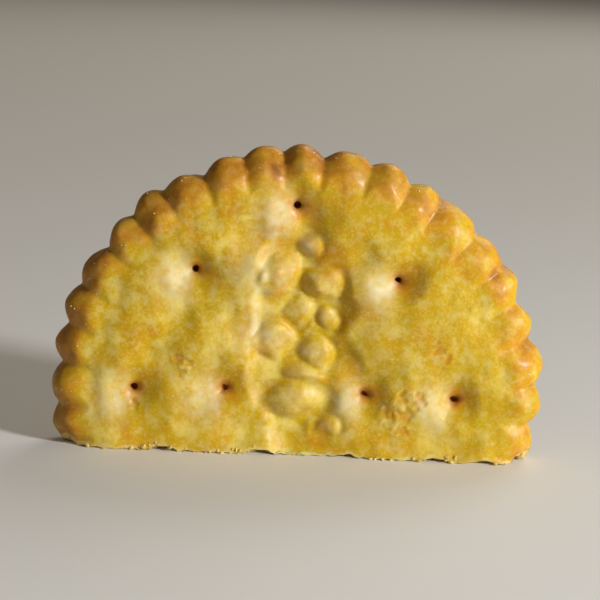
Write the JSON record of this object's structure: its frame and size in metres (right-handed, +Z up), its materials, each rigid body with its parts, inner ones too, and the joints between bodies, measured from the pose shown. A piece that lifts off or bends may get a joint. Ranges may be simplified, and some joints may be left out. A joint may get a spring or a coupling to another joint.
{
  "type": "broken half of a round scalloped cracker",
  "caption": "Golden round cracker with a scalloped rim and docker holes, snapped across and standing on its flat broken edge.",
  "frame": {"origin": "foot of the broken edge, under the middle of the piece's box; the disc's centre is 6 mm above it", "axes": "+X along the broken edge, +Y through the thickness from the shown face to the back, +Z up"},
  "size_m": [0.048, 0.0056, 0.03],
  "materials": {
    "baked_crust": "baked golden dough: satin face, browner glossier rim, pale porous crumb on the broken edge"
  },
  "bodies": {
    "root": {"cracker_half": "baked_crust"}
  },
  "joints": []
}
